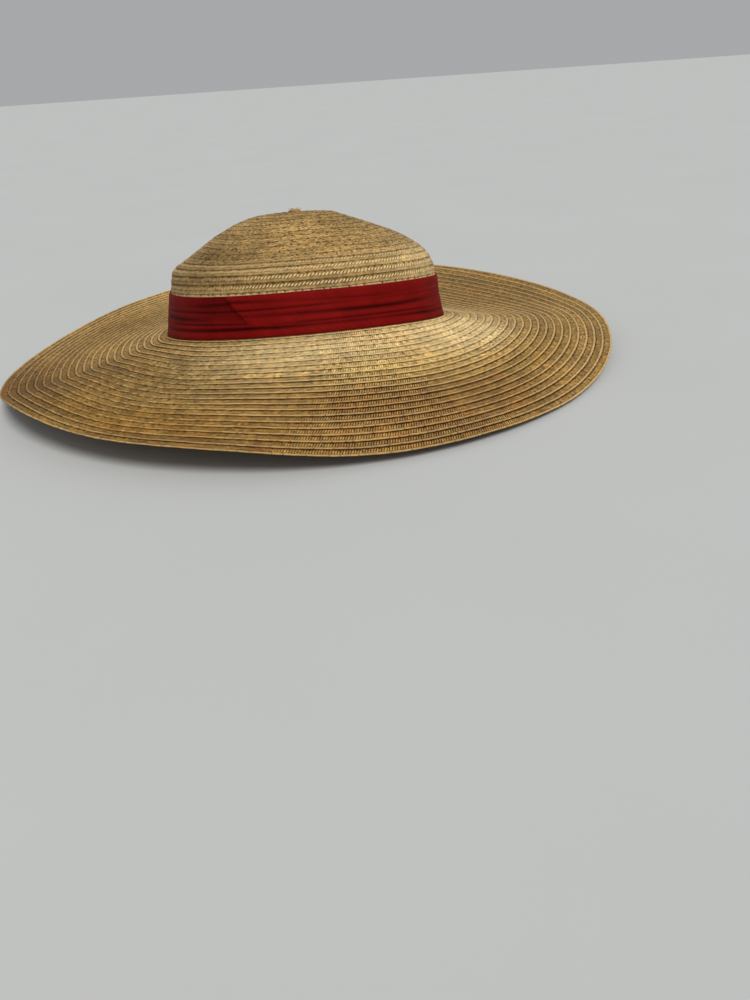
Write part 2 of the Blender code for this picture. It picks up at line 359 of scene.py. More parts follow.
def brim_surface(bearing, share):
    """Middle of the brim's straw, at a share of its width from the crown to the rim."""
    flat = oval(bearing, HEAD_LENGTH / 2, HEAD_WIDTH / 2)
    edge = leaning(np.concatenate([flat, edge_rise(bearing)[..., None]], -1))
    arch = value_around(BRIM_SECTIONS, "arch", bearing) * BRIM_WIDTH
    rim = value_around(BRIM_SECTIONS, "rim_rise", bearing) * BRIM_WIDTH
    fall = rim - edge[..., 2]
    run = np.sqrt(BRIM_WIDTH ** 2 - 16 / 3 * arch ** 2 - fall ** 2)
    flat = edge[..., :2] + direction(bearing) * (run * share)[..., None]
    height = edge[..., 2] + fall * share + 4 * share * (1 - share) * arch
    return np.concatenate([flat, height[..., None]], -1)


def crown_surface(bearing, place):
    """Outside of the crown at a place in its table of rings, before its dents."""
    height = value_along(CROWN_RINGS, "height", place)
    reach = value_along(CROWN_RINGS, "reach", place)[..., None] * HEAD_LENGTH / 2
    flat = oval(bearing, 1.0, HEAD_WIDTH / HEAD_LENGTH) * reach
    flat[..., 1] -= value_along(CROWN_RINGS, "ahead", place) * HEAD_LENGTH / 2
    foot = STRAW_THICKNESS / 2
    settled = np.clip(1 - height / EDGE_WAVE_TOP, 0, 1)
    level = height * (CROWN_HEIGHT + foot) - foot + edge_rise(bearing) * settled
    return leaning(np.concatenate([flat, level[..., None]], -1))


def normals(surface, bearing, place, place_step):
    """Unit normals of a surface whose places run up or inward, taken from points close by."""
    around = surface(bearing + TURN_STEP, place) - surface(bearing - TURN_STEP, place)
    along = surface(bearing, place + place_step) - surface(bearing, place - place_step)
    normal = np.cross(around, along)
    return normal / np.linalg.norm(normal, axis=-1, keepdims=True)


def dent_depth(bearing, height):
    """How far the crown is pushed in at its soft hollows."""
    push = np.zeros(bearing.shape)
    for dent in DENTS:
        turn = (bearing - dent.bearing + 180) % 360 - 180
        push += dent.depth * CROWN_HEIGHT * np.exp(
            -(turn / dent.turn) ** 2 - ((height - dent.height) / dent.spread) ** 2)
    return push


def crown_arc():
    """Places in the crown's table, and how far each lies from the tip along the straw."""
    places = np.linspace(0, TOP_PLACE, 400)
    around, place = np.meshgrid(np.arange(0, 360, 10.0), places, indexing="ij")
    points = crown_surface(around, place)
    from_foot = np.concatenate([[0], np.cumsum(steps(points, 1).mean(0))])
    return places, from_foot[-1] - from_foot


ARC_PLACES, ARC_FROM_TIP = crown_arc()
ARC_HEIGHTS = value_along(CROWN_RINGS, "height", ARC_PLACES)
CROWN_ARC = ARC_FROM_TIP[0]
BAND_TOP_ARC = np.interp(BAND_HEIGHT / CROWN_HEIGHT, ARC_HEIGHTS, ARC_FROM_TIP)


def crown_outside(bearing, place):
    """Outside of the crown with its dents: points, outward normals, height share."""
    height = value_along(CROWN_RINGS, "height", place)
    normal = normals(crown_surface, bearing, place, NORMAL_STEP)
    points = crown_surface(bearing, place) - normal * dent_depth(bearing, height)[..., None]
    return points, normal, height


def crown_straw(bearing, distance):
    """The same at a distance down from the tip along the straw."""
    return crown_outside(bearing, np.interp(CROWN_ARC - distance, CROWN_ARC - ARC_FROM_TIP, ARC_PLACES))


def brim_straw(bearing, distance):
    """Middle of the brim's straw at a distance out from the crown: points, upward normals, width share."""
    share = distance / BRIM_WIDTH
    normal = -normals(brim_surface, bearing, share, SHARE_STEP)
    return brim_surface(bearing, share), normal, share


def wander(generator, length, reach):
    """Smooth random value between -1 and 1 along a length, as a function of the place on it."""
    knots = generator.uniform(-1, 1, int(length / reach) + 3)

    def value(run):
        knot = np.floor(run / reach).astype(int)
        part = eased(run / reach - knot)
        return knots[knot] * (1 - part) + knots[knot + 1] * part

    return value


def rows_out(turn):
    """Rows that the strip has stepped outward by a turn."""
    whole = np.floor(turn)
    return whole - 1 + eased((turn - whole) / STEP_SHARE)


def patch_values(patches, bearing, place):
    """Amount of each tint and of wear at bearings and places, from a table of areas."""
    found = {}
    for name in AREA_VALUES:
        total = np.zeros(bearing.shape)
        for patch in patches:
            turn = ((bearing - patch.bearing + 180) % 360 - 180) / patch.turn
            away = (place - patch.place) / patch.reach
            total += getattr(patch, name) * np.exp(-turn ** 2 - away ** 2)
        found[name] = np.clip(total, 0, 1)
    return found


def mixed(first, second, share):
    """Colours between first and second."""
    return first + (np.array(second) - first) * share[..., None]


def fill(target, key, values, kind=np.float32):
    """Set one value of every item of a mesh, or a few values of each."""
    target.foreach_set(key, np.ravel(values).astype(kind))


def strip_faces(count, sides):
    """Corners of the faces along a strip with a closed section, and of its two end caps."""
    corner = np.arange(count * sides).reshape(count, sides)
    after = np.roll(corner, -1, 1)
    quads = np.stack([corner[:-1], after[:-1], after[1:], corner[1:]], -1).reshape(-1, 4)
    return quads, np.stack([corner[0][::-1], corner[-1]])


def closed_strip(name, points, uv, attributes):
    """Mesh of a strip with a closed section, given as a grid of points, capped at both ends."""
    count, sides = points.shape[:2]
    quads, caps = strip_faces(count, sides)
    loops = np.concatenate([quads.ravel(), caps.ravel()])
    sizes = np.concatenate([np.full(len(quads), 4), np.full(2, sides)])
    mesh = bpy.data.meshes.new(name)
    mesh.vertices.add(count * sides)
    fill(mesh.vertices, "co", points)
    mesh.loops.add(len(loops))
    fill(mesh.loops, "vertex_index", loops, np.int32)
    mesh.polygons.add(len(sizes))
    fill(mesh.polygons, "loop_start", np.concatenate([[0], np.cumsum(sizes)[:-1]]), np.int32)
    mesh.update(calc_edges=True)
    mesh.validate()
    fill(mesh.uv_layers.new(name="run").data, "uv", uv.reshape(-1, 2)[loops])
    for key, values in attributes.items():
        if values.ndim == 3:
            colours = np.concatenate([values, np.ones(values.shape[:2] + (1,))], -1)
            fill(mesh.attributes.new(key, "FLOAT_COLOR", "POINT").data, "color", colours)
        else:
            fill(mesh.attributes.new(key, "FLOAT", "POINT").data, "value", values)
    mesh.shade_smooth()
    return mesh


def add_piece(name, mesh, finish, slot, *nodes):
    """One visible piece that rides with the hat and stands for its CAD nodes."""
    mesh.materials.append(finish)
    piece = bpy.data.objects.new(name, mesh)
    bpy.context.scene.collection.objects.link(piece)
    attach(piece, "root")
    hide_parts(*nodes)
    return piece


def cad_shift():
    """Where the CAD has set the hat down, measured from the crown's own frame."""
    around, place = np.meshgrid(np.arange(0, 360, 5.0), np.linspace(0, TOP_PLACE, 20), indexing="ij")
    points = crown_outside(around, place)[0]
    low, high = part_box("crown")
    made_low, made_high = points.min((0, 1)), points.max((0, 1))
    middle = (np.array(low) + np.array(high) - made_low - made_high) / 2
    return np.array([middle[0], middle[1], high[2] - made_high[2]])


SHIFT = cad_shift()


# How a strip is wound: its rows, the distance of its last edge, the surface's own end and start, the
# thickness of the braid, how far a row stands over the next, how deep the strip lies in the surface,
# the step along it, the seed of its sways, how far it is pressed in past a distance, and how smooth it
# lies up to a distance
Winding = namedtuple(
    "Winding", "rows last_edge limit start thickness rise sink step seed press press_from smooth smooth_to",
    defaults=(0.0,) * 4)
CROWN_WINDING = Winding(
    rows=CROWN_ROWS, last_edge=CROWN_ARC + CROWN_RUN_ON, limit=CROWN_ARC, start=0.0, thickness=0.00046,
    rise=0.00026, sink=0.00060, press=0.00045, press_from=BAND_TOP_ARC, smooth=1.0,
    smooth_to=BAND_TOP_ARC - 4.2 * ROW_PITCH, step=0.00105, seed=5)
BRIM_WINDING = Winding(
    rows=BRIM_ROWS, last_edge=BRIM_WIDTH, limit=BRIM_WIDTH, start=CLEARANCE, thickness=0.00080,
    rise=0.00065, sink=0.00020, step=0.00130, seed=12)


class Braid:
    """One long strip of braid, wound over a surface."""

    def __init__(self, surface, winding, patches, straw):
        self.surface = surface
        self.straw = straw
        self.winding = winding
        self.patches = patches
        generator = np.random.default_rng(winding.seed)
        self.turns, self.runs = self.evenly()
        length = self.runs[-1]
        self.edge_sway = wander(generator, length, 0.028)
        self.edge_nick = wander(generator, length, 0.0045)
        self.lift_sway = wander(generator, length, 0.012)
        self.lift_nick = wander(generator, length, 0.0030)
        self.shade = wander(generator, length, 0.050)
        self.fleck = wander(generator, length, 0.0080)

    def full_edge(self, turn):
        """Distance of the outer edge, if the surface went on past its own edge."""
        return self.winding.last_edge - (self.winding.rows - 1 - rows_out(turn)) * ROW_PITCH

    def evenly(self):
        """Turns at even steps along the strip, and how far along it each lies."""
        turn = np.arange(STEP_SHARE, self.winding.rows + 0.9 * STEP_SHARE, 1 / 720)
        edge = np.minimum(self.full_edge(turn), self.winding.limit)
        line = self.surface(STEP_BEARING + 360 * turn, edge)[0]
        run = np.concatenate([[0], np.cumsum(steps(line))])
        even = np.linspace(0, run[-1], int(run[-1] / self.winding.step))
        return np.interp(even, run, turn), even

    def width(self, full, edge):
        """Width of the braid: stretched where the strip starts, and narrowed where it runs past the edge."""
        room = edge - self.winding.start
        beyond = np.clip((full - self.winding.limit) / ROW_PITCH, 0, 1)
        settled = BRAID_WIDTH * (1 - EDGE_NARROWING * beyond)
        return np.where(room < START_STRETCH * BRAID_WIDTH, room, settled)

    def sway(self, run, middle, folds):
        """How far the outer edge strays from its line: most where it is worn or has deep cream folds."""
        nick = 0.00007 + 0.00028 * middle["worn"][:, None]
        deep = 0.00007 + 0.00012 * middle["cream"][:, None] * (self.surface is crown_straw)
        return 0.00014 * self.edge_sway(run) + nick * self.edge_nick(run) + deep * folds

    def lift(self, run, middle, folds):
        """How far the outer edge stands up: most where it is worn."""
        worn = middle["worn"][:, None]
        slow = (0.00008 + 0.00010 * worn) * self.lift_sway(run)
        quick = (0.00004 + 0.00016 * worn) * self.lift_nick(run)
        return slow + quick + 0.00006 * folds

    def grid(self, turn, run):
        """Points of the strip, with what its material reads there."""
        winding = self.winding
        across = column(BRAID_SECTION, "across")[None, :]
        profile = column(BRAID_SECTION, "height")[None, :] * winding.thickness
        bearing = (STEP_BEARING + 360 * turn)[:, None] + 0 * across
        full = self.full_edge(turn)
        edge = np.minimum(full, winding.limit)
        middle = patch_values(self.patches, bearing[:, 0], self.surface(bearing[:, 0], edge)[2])
        run = run[:, None]
        folds = np.abs(np.sin(math.pi * run / SCALLOP_PITCH)) - 0.6
        inward = self.width(full, edge)[:, None] * (1 - across)
        distance = edge[:, None] - inward + self.sway(run, middle, folds) * across ** 2
        points, normal, place = self.surface(bearing, np.minimum(distance, winding.limit + RIM_RUN_ON))
        dome = winding.smooth * eased((winding.smooth_to - distance) / 0.012 + 0.5)
        plain = np.maximum(dome, middle["plain"][:, None])
        rise = winding.rise / ROW_PITCH * (distance - full[:, None] + BRAID_WIDTH / 2)
        pressed = winding.press * eased((distance - winding.press_from) / 0.0015)
        height = (rise + profile + self.lift(run, middle, folds) * across ** 3) * (1 - FLATTENING * plain)
        points = points + normal * (height - winding.sink - pressed)[..., None] + SHIFT
        uv = np.stack([run + 0 * across, BRAID_WIDTH * across + 0 * run], -1)
        return points, uv, self.attributes(bearing, place, turn, run, across, plain)

    def attributes(self, bearing, place, turn, run, across, plain):
        """What the material reads at each point: colour, wear, row and side."""
        values = patch_values(self.patches, bearing, place)
        colour = np.ones(bearing.shape + (3,)) * np.array(self.straw)
        colour = mixed(colour, YELLOW, values["yellow"])
        colour = mixed(colour, GREY, 0.8 * values["grey"])
        blotch_and_shade = np.clip(values["stain"] * (1 + 0.55 * self.fleck(run + 0 * across)), 0, 1)
        colour = mixed(colour, STAIN_AND_SHADE, 0.85 * blotch_and_shade)
        colour = mixed(colour, CREAM, 0.92 * values["cream"])
        shade = 1 + 0.16 * self.shade(run) + 0.08 * self.fleck(run)
        return {
            "tint": colour * shade[..., None],
            "cream": values["cream"],
            "dull": np.clip(0.6 * values["grey"] + 0.7 * values["stain"], 0, 1),
            "worn": values["worn"],
            "plain": plain,
            "row": np.floor(turn)[:, None] + 0 * across,
            "under": column(BRAID_SECTION, "under")[None, :] + 0 * run,
        }

    def piece_mesh(self, name, first, last):
        """Mesh of the strip between two shares of its length."""
        ends = [int(round(share * (len(self.turns) - 1))) for share in (first, last)]
        part = slice(ends[0], ends[1] + 1)
        points, uv, attributes = self.grid(self.turns[part], self.runs[part])
        return closed_strip(name, points, uv, attributes)


class Tree:
    """Short names for the nodes of one material."""

    def __init__(self, name):
        self.material = bpy.data.materials.new(name)
        self.material.use_nodes = True
        self.tree = self.material.node_tree
        self.shader = self.tree.nodes["Principled BSDF"]

    def node(self, kind, inputs=None, **settings):
        """New node with its settings, its inputs given as sockets or values."""
        made = self.tree.nodes.new(kind)
        for key, value in settings.items():
            setattr(made, key, value)
        for key, value in (inputs or {}).items():
            self.feed(made.inputs[key], value)
        return made

    def feed(self, socket, value):
        """Link a socket, or set its value."""
        if isinstance(value, bpy.types.NodeSocket):
            self.tree.links.new(value, socket)
        else:
            socket.default_value = value

    def calc(self, operation, *values):
        """Result of one operation on sockets or numbers."""
        made = self.node("ShaderNodeMath", dict(enumerate(values)), operation=operation)
        return made.outputs[0]

    def times(self, first, *others):
        """Product of sockets or numbers."""
        for value in others:
            first = self.calc("MULTIPLY", first, value)
        return first

    def plus(self, first, *others):
        """Sum of sockets or numbers."""
        for value in others:
            first = self.calc("ADD", first, value)
        return first

    def minus(self, first, second):
        """Difference of two."""
        return self.calc("SUBTRACT", first, second)

    def less(self, value, amount):
        """What is left of one when an amount of the value is taken away."""
        return self.minus(1.0, self.times(value, amount))

    def cell(self, value, length):
        """Whole number of lengths in a value."""
        return self.calc("FLOOR", self.calc("DIVIDE", value, length))

    def ramp(self, value, low, high, start=0.0, end=1.0):
        """Value eased from start to end while the input goes from low to high."""
        inputs = {"Value": value, "From Min": low, "From Max": high, "To Min": start, "To Max": end}
        return self.node("ShaderNodeMapRange", inputs, interpolation_type="SMOOTHSTEP").outputs["Result"]

    def attribute(self, name, output="Fac"):
        """Value that the mesh holds at each point."""
        return self.node("ShaderNodeAttribute", attribute_name=name).outputs[output]

    def vector(self, first, second, third=0.0):
        """Vector of three values."""
        return self.node("ShaderNodeCombineXYZ", {"X": first, "Y": second, "Z": third}).outputs[0]

    def random(self, first, second):
        """Random number for each pair of whole numbers."""
        inputs = {"Vector": self.vector(first, second)}
        return self.node("ShaderNodeTexWhiteNoise", inputs, noise_dimensions="2D").outputs["Value"]

    def noise(self, vector, scale, detail):
        """Soft noise between 0 and 1."""
        inputs = {"Vector": vector, "Scale": scale, "Detail": detail}
        return self.node("ShaderNodeTexNoise", inputs).outputs[0]

    def mix(self, share, first, second, blend="MIX"):
        """Colour between two colours."""
        made = self.node("ShaderNodeMix", data_type="RGBA", blend_type=blend)
        self.feed(made.inputs["Factor"], share)
        self.feed(made.inputs[6], first)
        self.feed(made.inputs[7], second)
        return made.outputs[2]

    def toned(self, colour, tone):
        """Colour times a tone."""
        grey = self.node("ShaderNodeCombineColor", {"Red": tone, "Green": tone, "Blue": tone}).outputs[0]
        return self.mix(1.0, colour, grey, "MULTIPLY")

    def place(self):
        """Place on the piece, in metres."""
        return self.node("ShaderNodeTexCoord").outputs["Object"]

    def run(self):
        """Distances along the strip and across it."""
        place = self.node("ShaderNodeUVMap", uv_map="run").outputs[0]
        split = self.node("ShaderNodeSeparateXYZ", {"Vector": place})
        return split.outputs["X"], split.outputs["Y"]

    def bump(self, height, distance, strength):
        """Relief of a height given as a share of a distance."""
        inputs = {"Height": height, "Distance": distance, "Strength": strength}
        self.feed(self.shader.inputs["Normal"], self.node("ShaderNodeBump", inputs).outputs[0])

    def finish(self, colour, roughness, specular):
        """The material, with its colour, roughness and specular level."""
        self.feed(self.shader.inputs["Base Color"], colour)
        self.feed(self.shader.inputs["Roughness"], roughness)
        self.shader.inputs["Specular IOR Level"].default_value = specular
        return self.material


# Zones of the braid, as distances from its inner edge: the groove lies beside the row before, the rope
# is the plaited part, and the lip is the outer edge. Then the spacing and slant of its strands, the
# size of its specks, the tones of its groove, its rope, its smooth part and its lip, and how much of
# the specks shows where the rows stand up and where they are pressed flat. The groove's tone is
# painted shadow under the row before. The rope's tones paint highlights on the strand crests and
# shade at their sides, and its cream is partly painted highlight. The lip's pale tone is partly the
# smooth edge's own colour and partly painted highlight.
Look = namedtuple("Look", [
    "groove", "rope_start", "rope_end", "swag", "lip", "pitch", "slant", "speck_length", "speck_width",
    "groove_dark", "rope_dark", "rope_pale", "rope_cream", "smooth", "lip_tone", "lip_pale", "grain",
    "plain_grain"])
BRIM_LOOK = Look(
    groove=0.0022, rope_start=0.0021, rope_end=0.0050, swag=0.0, lip=0.0057, pitch=0.00145, slant=0.35,
    speck_length=0.0020, speck_width=0.0011, groove_dark=0.88, rope_dark=0.12, rope_pale=1.35,
    rope_cream=0.20, smooth=0.88, lip_tone=0.22, lip_pale=0.60, grain=0.85, plain_grain=0.62)
CROWN_LOOK = Look(
    groove=0.0019, rope_start=0.0024, rope_end=0.0042, swag=0.0006, lip=0.0052, pitch=0.00225, slant=0.90,
    speck_length=0.0015, speck_width=0.0009, groove_dark=0.66, rope_dark=0.45, rope_pale=1.22,
    rope_cream=0.85, smooth=0.84, lip_tone=0.12, lip_pale=0.10, grain=0.25, plain_grain=1.0)


class Straw(Tree):
    """Plaited straw: a rope of slanted strands with painted highlights and shade, a smooth pale lip that is
    partly painted highlight, and a groove with stitches, darkened with painted shadow.
    """

    def __init__(self, name, look):
        super().__init__(name)
        self.look = look
        self.row = self.attribute("row")
        self.worn = self.attribute("worn")
        self.cream = self.attribute("cream")
        self.plain = self.attribute("plain")
        self.top = self.ramp(self.attribute("under"), 0.75, 0.35)
        self.along, across = self.run()

        # Where the braid is worn, short lengths of it lie out of line, and some have lost their lip
        shifted = self.plus(self.calc("DIVIDE", self.along, WORN_LENGTH), self.times(self.row, 0.4))
        self.worn_cell = self.calc("FLOOR", shifted)
        broken = self.times(self.worn, self.ramp(self.chance(self.worn_cell, 90.0), 0.35, 0.55))
        self.whole = self.less(broken, 0.8)
        jog = self.minus(self.chance(self.worn_cell, 120.0), 0.5)
        self.across = self.plus(across, self.times(jog, WORN_JOG, self.worn))

    def chance(self, cell, sort=0.0):
        """Random number of a cell in its row, another one for each sort."""
        return self.random(cell, self.plus(self.row, sort))

    def ridge(self, places):
        """Round shape of each strand, from 0 at its sides to 1."""
        return self.calc("SINE", self.times(self.calc("FRACT", places), math.pi))

    def strands(self):
        """Places along the two directions of the plait, and across it with the rope's own sag."""
        wave = self.plus(self.times(self.along, math.pi / SWAG_PITCH), self.times(self.row, 1.7))
        sag = self.calc("ABSOLUTE", self.calc("SINE", wave))
        sagged = self.minus(self.across, self.times(sag, self.look.swag))
        slant = self.times(self.across, self.look.slant)
        strands = self.calc("DIVIDE", self.plus(self.along, slant), self.look.pitch)
        crossings = self.calc("DIVIDE", self.minus(self.along, slant), self.look.pitch * 1.6)
        return strands, crossings, sagged

    def streaks(self):
        """Fine fibres that run along the straw."""
        place = self.vector(self.times(self.along, 160.0), self.times(self.across, 3500.0), self.row)
        return self.noise(place, 1.0, 2.0)

    def stretches(self, scale, row_scale):
        """Soft noise along each row."""
        place = self.vector(self.times(self.along, scale), self.times(self.row, row_scale))
        return self.noise(place, 1.0, 1.0)

    def zones(self, sagged):
        """How far each point lies in the rope, the lip and the groove."""
        look = self.look
        rope = self.times(
            self.ramp(sagged, look.rope_start, look.rope_start + 0.0004),
            self.ramp(sagged, look.rope_end + 0.0002, look.rope_end - 0.0002), self.top)
        lip = self.times(
            self.ramp(self.across, look.lip - 0.0002, look.lip + 0.0003), self.top, self.whole)
        # The groove: painted shadow under the lip of the row before, weaker where the straw is cream or lies
        # plain
        groove = self.times(
            self.ramp(self.across, look.groove + 0.0004, look.groove - 0.0003), self.top, self.whole,
            self.less(self.cream, 0.55),
            self.less(self.plain, self.ramp(self.stretches(45.0, 1.7), 0.55, 0.45, 0.0, 0.62)),
            self.ramp(self.stretches(260.0, 3.1), 0.35, 0.62, 0.30, 1.0))
        return rope, lip, groove

    def stitch_nicks(self):
        """Nicks of painted shadow where the thread pulls the braid down: beside the groove, and in the lip.
        """
        place = self.plus(self.calc("DIVIDE", self.along, STITCH_PITCH), self.times(self.row, 0.37))
        cell = self.calc("FLOOR", place)
        chance = self.chance(cell)
        centre = self.plus(0.25, self.times(self.chance(cell, 30.0), 0.5))
        away = self.calc("ABSOLUTE", self.minus(self.calc("FRACT", place), centre))
        inner = self.times(
            self.ramp(away, 0.17, 0.07), self.ramp(chance, 0.20, 0.30),
            self.ramp(self.across, 0.0031, 0.0025))
        outer = self.times(
            self.ramp(away, 0.10, 0.04), self.ramp(chance, 0.50, 0.62),
            self.ramp(self.across, 0.0060, 0.0066))
        return inner, outer

    def specks(self):
        """Grain of the straw: a tone for each short length of fibre, with a dark gap here and there."""
        cell = self.cell(self.along, self.look.speck_length)
        line = self.plus(self.cell(self.across, self.look.speck_width), self.times(self.row, 37.0))
        tone = self.ramp(self.random(cell, line), 0.0, 1.0, 0.64, 1.36)
        gap = self.ramp(self.random(self.plus(cell, 400.0), line), 0.89, 0.91)
        grain = self.times(tone, self.less(gap, 0.72))
        strength = self.times(
            self.ramp(self.plain, 0.0, 1.0, self.look.grain, self.look.plain_grain),
            self.ramp(self.cream, 0.2, 1.0, 1.0, 0.55))
        return self.plus(1.0, self.times(self.minus(grain, 1.0), strength))

    def strand_tone(self, ridge, strand, crossing):
        """Tone of the rope: painted highlights on the strands' crests and painted shade at their sides, with
        their own tones, evened out where the rows lie plain.
        """
        tone = self.times(
            self.ramp(ridge, 0.15, 0.80, self.look.rope_dark, self.look.rope_pale),
            self.plus(0.72, self.times(strand, 0.56)), self.plus(0.86, self.times(crossing, 0.28)))
        return self.plus(tone, self.times(self.plain, self.minus(0.95, tone), 0.75))

    def even_tone(self, streak, lip):
        """Tone of the smooth part beside the rope, and of the lip, whose brighter tone is partly painted
        highlight.
        """
        smooth = self.times(self.ramp(streak, 0.30, 0.70, 0.86, 1.10), self.look.smooth)
        return self.plus(smooth, self.times(lip, self.look.lip_tone))

    def spread_tone(self):
        """Tones that spread over the hat: by row, in clouds, in mottles, where it is worn, and in specks."""
        row_tone = self.ramp(self.random(self.row, 7.0), 0.0, 1.0, 0.92, 1.08)
        cloud = self.ramp(self.noise(self.place(), 45.0, 3.0), 0.3, 0.7, 0.88, 1.13)
        mottle = self.ramp(self.noise(self.place(), 420.0, 1.0), 0.32, 0.68, -0.24, 0.24)
        mottle = self.plus(1.0, self.times(mottle, self.less(self.plain, 0.5)))
        broken = self.minus(1.08, self.times(self.worn, self.chance(self.worn_cell, 40.0), 0.38))
        return self.times(row_tone, cloud, mottle, broken, self.specks())

    def tinted(self, tone, ridge, rope, lip):
        """Colour of the straw before its painted groove shadows, with cream strand crests and a pale lip,
        both partly painted highlight.
        """
        hue = self.mix(
            self.ramp(self.noise(self.place(), 130.0, 2.0), 0.38, 0.62),
            (1.02, 0.98, 0.91, 1.0), (0.99, 1.01, 1.0, 1.0))
        colour = self.mix(1.0, self.toned(self.attribute("tint", "Color"), tone), hue, "MULTIPLY")
        # Cream on the strand crests: partly pale strands, partly painted highlight
        crest_cream_and_highlight = self.times(
            rope, self.ramp(ridge, 0.50, 0.85), self.look.rope_cream, self.minus(1.0, self.plain))
        colour = self.mix(crest_cream_and_highlight, colour, (*CREAM, 1.0))
        faded = self.calc("MAXIMUM", self.times(self.attribute("dull"), 0.6), self.times(self.plain, 0.5))
        # Pale lip: partly the smooth edge's own colour, partly painted highlight on the raised bead, dulled
        # where the straw is stained, grey or plain
        lip_paleness_and_highlight = self.times(lip, self.look.lip_pale, self.minus(1.0, faded))
        return self.mix(lip_paleness_and_highlight, colour, (*CREAM, 1.0))


def straw_material(name, look):
    """Material of plaited straw."""
    straw = Straw(name, look)
    strands, crossings, sagged = straw.strands()
    strand = straw.chance(straw.calc("FLOOR", strands))
    crossing = straw.chance(straw.calc("FLOOR", crossings), 60.0)
    ridge = straw.ridge(strands)
    streak = straw.streaks()
    rope, lip, groove = straw.zones(sagged)
    inner_nick, outer_nick = straw.stitch_nicks()

    tone = straw.plus(
        straw.times(straw.strand_tone(ridge, strand, crossing), rope),
        straw.times(straw.even_tone(streak, lip), straw.minus(1.0, rope)))
    colour = straw.tinted(straw.times(tone, straw.spread_tone()), ridge, rope, lip)
    # Painted shadow in the grooves and in the stitch dips
    dark = straw.calc("MAXIMUM", straw.times(groove, look.groove_dark), straw.times(inner_nick, 0.80))
    dark = straw.calc("MAXIMUM", dark, straw.times(outer_nick, lip, 0.65))
    colour = straw.mix(dark, colour, (*GROOVE_SHADOW, 1.0))

    relief = straw.plus(straw.times(ridge, 0.60), straw.times(straw.ridge(crossings), 0.15))
    relief = straw.times(relief, straw.plus(0.25, straw.times(rope, 0.75)))
    relief = straw.minus(straw.plus(relief, straw.times(streak, 0.22)), straw.times(inner_nick, 0.5))
    straw.bump(relief, 0.00030, 0.9)
    return straw.finish(colour, straw.plus(0.58, straw.times(strand, 0.14)), 0.10)


def ribbon_material():
    """Ribbed silk ribbon, with painted shade in its creases and on the length that runs up to its lapped end.
    """
    tree = Tree("red_ribbon")
    along, across = tree.run()
    rib = tree.calc("SINE", tree.times(along, 2 * math.pi / RIB_PITCH))
    fine = tree.calc("SINE", tree.times(across, 2 * math.pi / WARP_PITCH))
    rib_tone = tree.random(tree.cell(along, RIB_PITCH), 3.0)
    cloud = tree.noise(tree.place(), 60.0, 3.0)
    # Painted shade darkens the creases and lightens the folds between them, and darkens the length before the
    # lapped end
    tone = tree.times(
        tree.plus(0.86, tree.times(rib, 0.07)), tree.plus(0.92, tree.times(rib_tone, 0.16)),
        tree.ramp(cloud, 0.3, 0.7, 0.90, 1.12), tree.ramp(tree.attribute("crease"), 0.0, 1.0, 1.12, 0.24),
        tree.attribute("lap_shade_tone"))
    colour = tree.toned((*RED, 1.0), tone)
    weave = tree.plus(tree.times(rib, 0.5), tree.times(fine, 0.12), tree.times(cloud, 0.6))
    tree.bump(weave, 0.00012, 0.7)
    return tree.finish(colour, 0.55, 0.04)


def crease_shape(run, height, sways):
    """Depth of the ribbon's creases as a share of FOLD_DEPTH, and how far each point lies in one, which the
    material paints as shade.
    """
    relief = np.zeros(np.broadcast(run, height).shape)
    crease_shade = relief.copy()
    for crease, (drift, strength) in zip(CREASES, sways):
        centre = crease.height + 0.055 * drift(run)
        size = crease.depth * (0.62 + 0.45 * strength(run))
        away = height - centre
        valley = np.exp(-(away / crease.width) ** 2)
        lip = np.where(away > 0, np.exp(-away / 0.10), 0) * (1 - valley) * crease.above
        relief += size * (lip - valley)
        crease_shade = np.maximum(crease_shade, np.clip(size, 0, 1) * valley)
    return relief, crease_shade


def ribbon_stand(past, height, relief):
    """How far the ribbon stands out from the crown, by degrees past its outer end and share of its height."""
    lap = LAP_DEPTH * eased(1 - past / LAP_LENGTH) * (0.25 + 0.75 * between(height, 0.2, 0.8))
    later = TIGHT_DELAY * (1 - between(height, 0.2, 0.5))
    tight = between(past - later, TIGHT_FROM, TIGHT_FROM + 20)
    free = between(height, 0, EDGE_SHARE) * between(1 - height, 0, EDGE_SHARE) * (1 - tight)
    puff = FOLD_DEPTH * np.clip(0.55 + 0.55 * relief, 0, 1) * free
    low = 1 - between(height, 0.25, 0.60)
    cover = LAP_COVER * low * between(past, TIGHT_FROM, TIGHT_FROM + 22) * (1 - between(past, 361, 368))
    return RIBBON_GAP + lap + puff + cover


def ribbon_middle():
    """Grid of the ribbon's middle, its places along it, and how far each point lies in a crease, for its
    painted shade.
    """
    generator = np.random.default_rng(31)
    sweep = 360 + LAP_OVERLAP
    height = np.linspace(0, 1, RIBBON_ROWS)[None, :]
    start = LAP_TOP_BEARING + (LAP_FOOT_BEARING - LAP_TOP_BEARING) * (1 - height)
    past = np.linspace(0, 1, RIBBON_STEPS)[:, None] * sweep
    bearing = start + past
    run = past * RIBBON_ROUND / 360 + 0 * height
    sways = [(wander(generator, SWAY_RUN, 0.075), wander(generator, SWAY_RUN, 0.035)) for _ in CREASES]
    relief, crease_shade = crease_shape(run, height, sways)
    edge_sway = wander(generator, SWAY_RUN, 0.05)(run[:, :1]) * 0.012
    share = RIBBON_FOOT + (BAND_HEIGHT / CROWN_HEIGHT * (1 + edge_sway) - RIBBON_FOOT) * height
    place = np.interp(share, ARC_HEIGHTS, ARC_PLACES)
    normal = normals(crown_surface, bearing, place, NORMAL_STEP)
    surface = crown_surface(bearing, place) - normal * dent_depth(bearing, share)[..., None]
    middle = surface + normal * ribbon_stand(past, height, relief)[..., None]
    return middle, run, past, height, crease_shade


